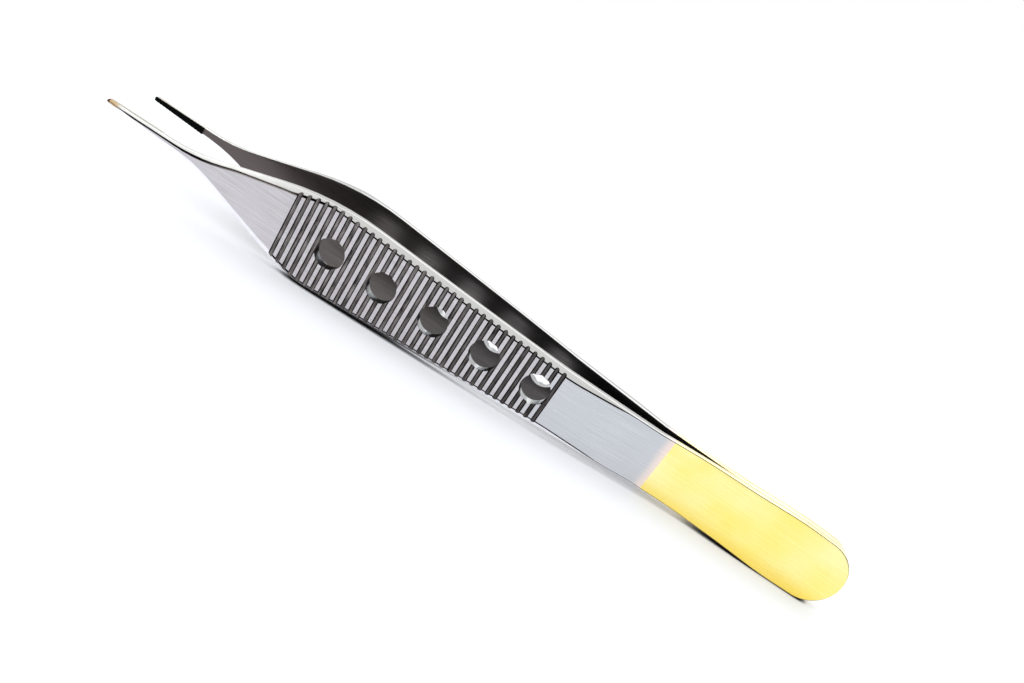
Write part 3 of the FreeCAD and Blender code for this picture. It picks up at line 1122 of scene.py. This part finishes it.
@dataclass
class Studio:
    """White table and soft light from above and behind.

    Attributes:
        floor_size: Width of the table top, in metres.
        floor_glow: Own brightness of the table top in the picture.
        floor_shade: Share of the light on it that shows there, which keeps the shadow.
        mirror_glow: Its own brightness as metal mirrors it.
        mirror_shade: Share of the light on it that metal mirrors.
        contact: How near the object the painted contact shadow darkens the table top, towards where it
            touches, in mm.
        contact_dark: Share of open sky there below which it is fully dark.
        contact_clear: Share of open sky above which it is not darkened.
        floor_bounce: How much light the table gives back to the object.
        sky: Strength of the even light from all round, as it falls on dull surfaces.
        sky_colour: Its colour, which the shadows take.
        front_sky: Brightness of the studio in front of the object, as metal mirrors it.
        sky_change: How far its change to white reaches to each side, as a share of straight back.
        key: Strength of the main lamp.
        key_angle: Its apparent width, in degrees.
        key_azimuth: Where it stands, from +X towards +Y.
        key_elevation: Its height above the table.
    """

    floor_size: float = 4.0
    floor_glow: float = 0.18
    floor_shade: float = 0.90
    mirror_glow: float = 0.60
    mirror_shade: float = 0.50
    contact: float = 1.2
    contact_dark: float = 0.22
    contact_clear: float = 0.75
    floor_bounce: float = 0.80
    sky: float = 0.30
    sky_colour: str = "#D2E0F8"
    front_sky: float = 0.05
    sky_change: float = 0.5
    key: float = 2.7
    key_angle: float = 120.0
    key_azimuth: float = 90.0
    key_elevation: float = 84.0

    def seen(self, tree: bpy.types.NodeTree) -> bpy.types.NodeSocket:
        """Tell rays that show the background, straight, mirrored or through glass.

        Args:
            tree: The material's or the world's tree.

        Returns:
            A socket that is 1 for those rays and 0 for the rest.
        """
        ray = add_node(tree, "ShaderNodeLightPath").outputs
        reflected = combine(tree, "MAXIMUM", ray["Is Camera Ray"], ray["Is Glossy Ray"])
        return combine(tree, "MAXIMUM", reflected, ray["Is Transmission Ray"])

    def floor(self) -> None:
        """Make the table top, which the lens and the metal see glowing and dull surfaces see plain."""
        half = self.floor_size / 2
        data = bpy.data.meshes.new("floor")
        data.from_pydata([(-half, -half, 0), (half, -half, 0), (half, half, 0), (-half, half, 0)],
                         [], [(0, 1, 2, 3)])
        material = bpy.data.materials.new("white_table")
        tree = empty_tree(material)
        # Painted contact shadow: where ambient occlusion finds the object close, the table's glow and
        # shade darken.
        open_sky = add_node(tree, "ShaderNodeAmbientOcclusion", {
            "Distance": self.contact * MM}).outputs["AO"]
        clear = spread(tree, open_sky, self.contact_dark, self.contact_clear, smooth=True)
        glossy = add_node(tree, "ShaderNodeLightPath").outputs["Is Glossy Ray"]
        own = mix_values(tree, glossy, self.floor_glow, self.mirror_glow)
        given_back = mix_values(tree, glossy, self.floor_shade, self.mirror_shade)
        glow = add_node(tree, "ShaderNodeEmission", {
            "Color": WHITE, "Strength": combine(tree, "MULTIPLY", clear, own)})
        whiteness = combine(tree, "MULTIPLY", clear, given_back)
        shade = add_node(tree, "ShaderNodeBsdfDiffuse", {
            "Color": mix_colours(tree, whiteness, BLACK, WHITE)})
        shown = add_node(tree, "ShaderNodeAddShader", {0: glow.outputs[0], 1: shade.outputs[0]})
        bounce = add_node(tree, "ShaderNodeBsdfDiffuse", {
            "Color": (self.floor_bounce, self.floor_bounce, self.floor_bounce, 1.0)})
        mixed = add_node(tree, "ShaderNodeMixShader", {
            "Fac": self.seen(tree), 1: bounce.outputs[0], 2: shown.outputs[0]})
        add_node(tree, "ShaderNodeOutputMaterial", {"Surface": mixed.outputs[0]})
        data.materials.append(material)
        add_object("floor", data)

    def sky_light(self) -> None:
        """Set the even light from all round, white behind the object and dimmer in front of it."""
        world = bpy.data.worlds.new("studio")
        tree = empty_tree(world)
        towards = add_node(tree, "ShaderNodeTexCoord").outputs["Generated"]
        backwards = add_node(tree, "ShaderNodeSeparateXYZ", {"Vector": towards}).outputs["Y"]
        mirrored = spread(tree, backwards, -self.sky_change, self.sky_change,
                          first=self.front_sky, smooth=True)
        straight = add_node(tree, "ShaderNodeLightPath").outputs["Is Camera Ray"]
        shown = combine(tree, "MAXIMUM", mirrored, straight)
        seen = self.seen(tree)
        strength = mix_values(tree, seen, self.sky, shown)
        colour = mix_colours(tree, seen, linear(self.sky_colour), WHITE)
        light = add_node(tree, "ShaderNodeBackground", {"Color": colour, "Strength": strength})
        add_node(tree, "ShaderNodeOutputWorld", {"Surface": light.outputs[0]})
        bpy.context.scene.world = world

    def key_lamp(self) -> None:
        """Hang the main soft lamp."""
        data = bpy.data.lights.new("key", "SUN")
        data.energy = self.key
        data.angle = math.radians(self.key_angle)
        lamp = add_object("key", data)
        azimuth, elevation = math.radians(self.key_azimuth), math.radians(self.key_elevation)
        towards = Vector((math.cos(azimuth) * math.cos(elevation),
                          math.sin(azimuth) * math.cos(elevation),
                          math.sin(elevation)))
        lamp.rotation_euler = towards.to_track_quat("Z", "Y").to_euler()

    def build(self) -> None:
        """Set the whole studio."""
        self.floor()
        self.sky_light()
        self.key_lamp()
        bpy.context.scene.view_settings.view_transform = "Standard"


def main() -> None:
    """Build the camera, the studio and the forceps, in order."""
    Camera().build()
    Studio().build()
    Forceps().build()


if __name__ == "__main__":
    logging.basicConfig(level=logging.INFO)
    main()
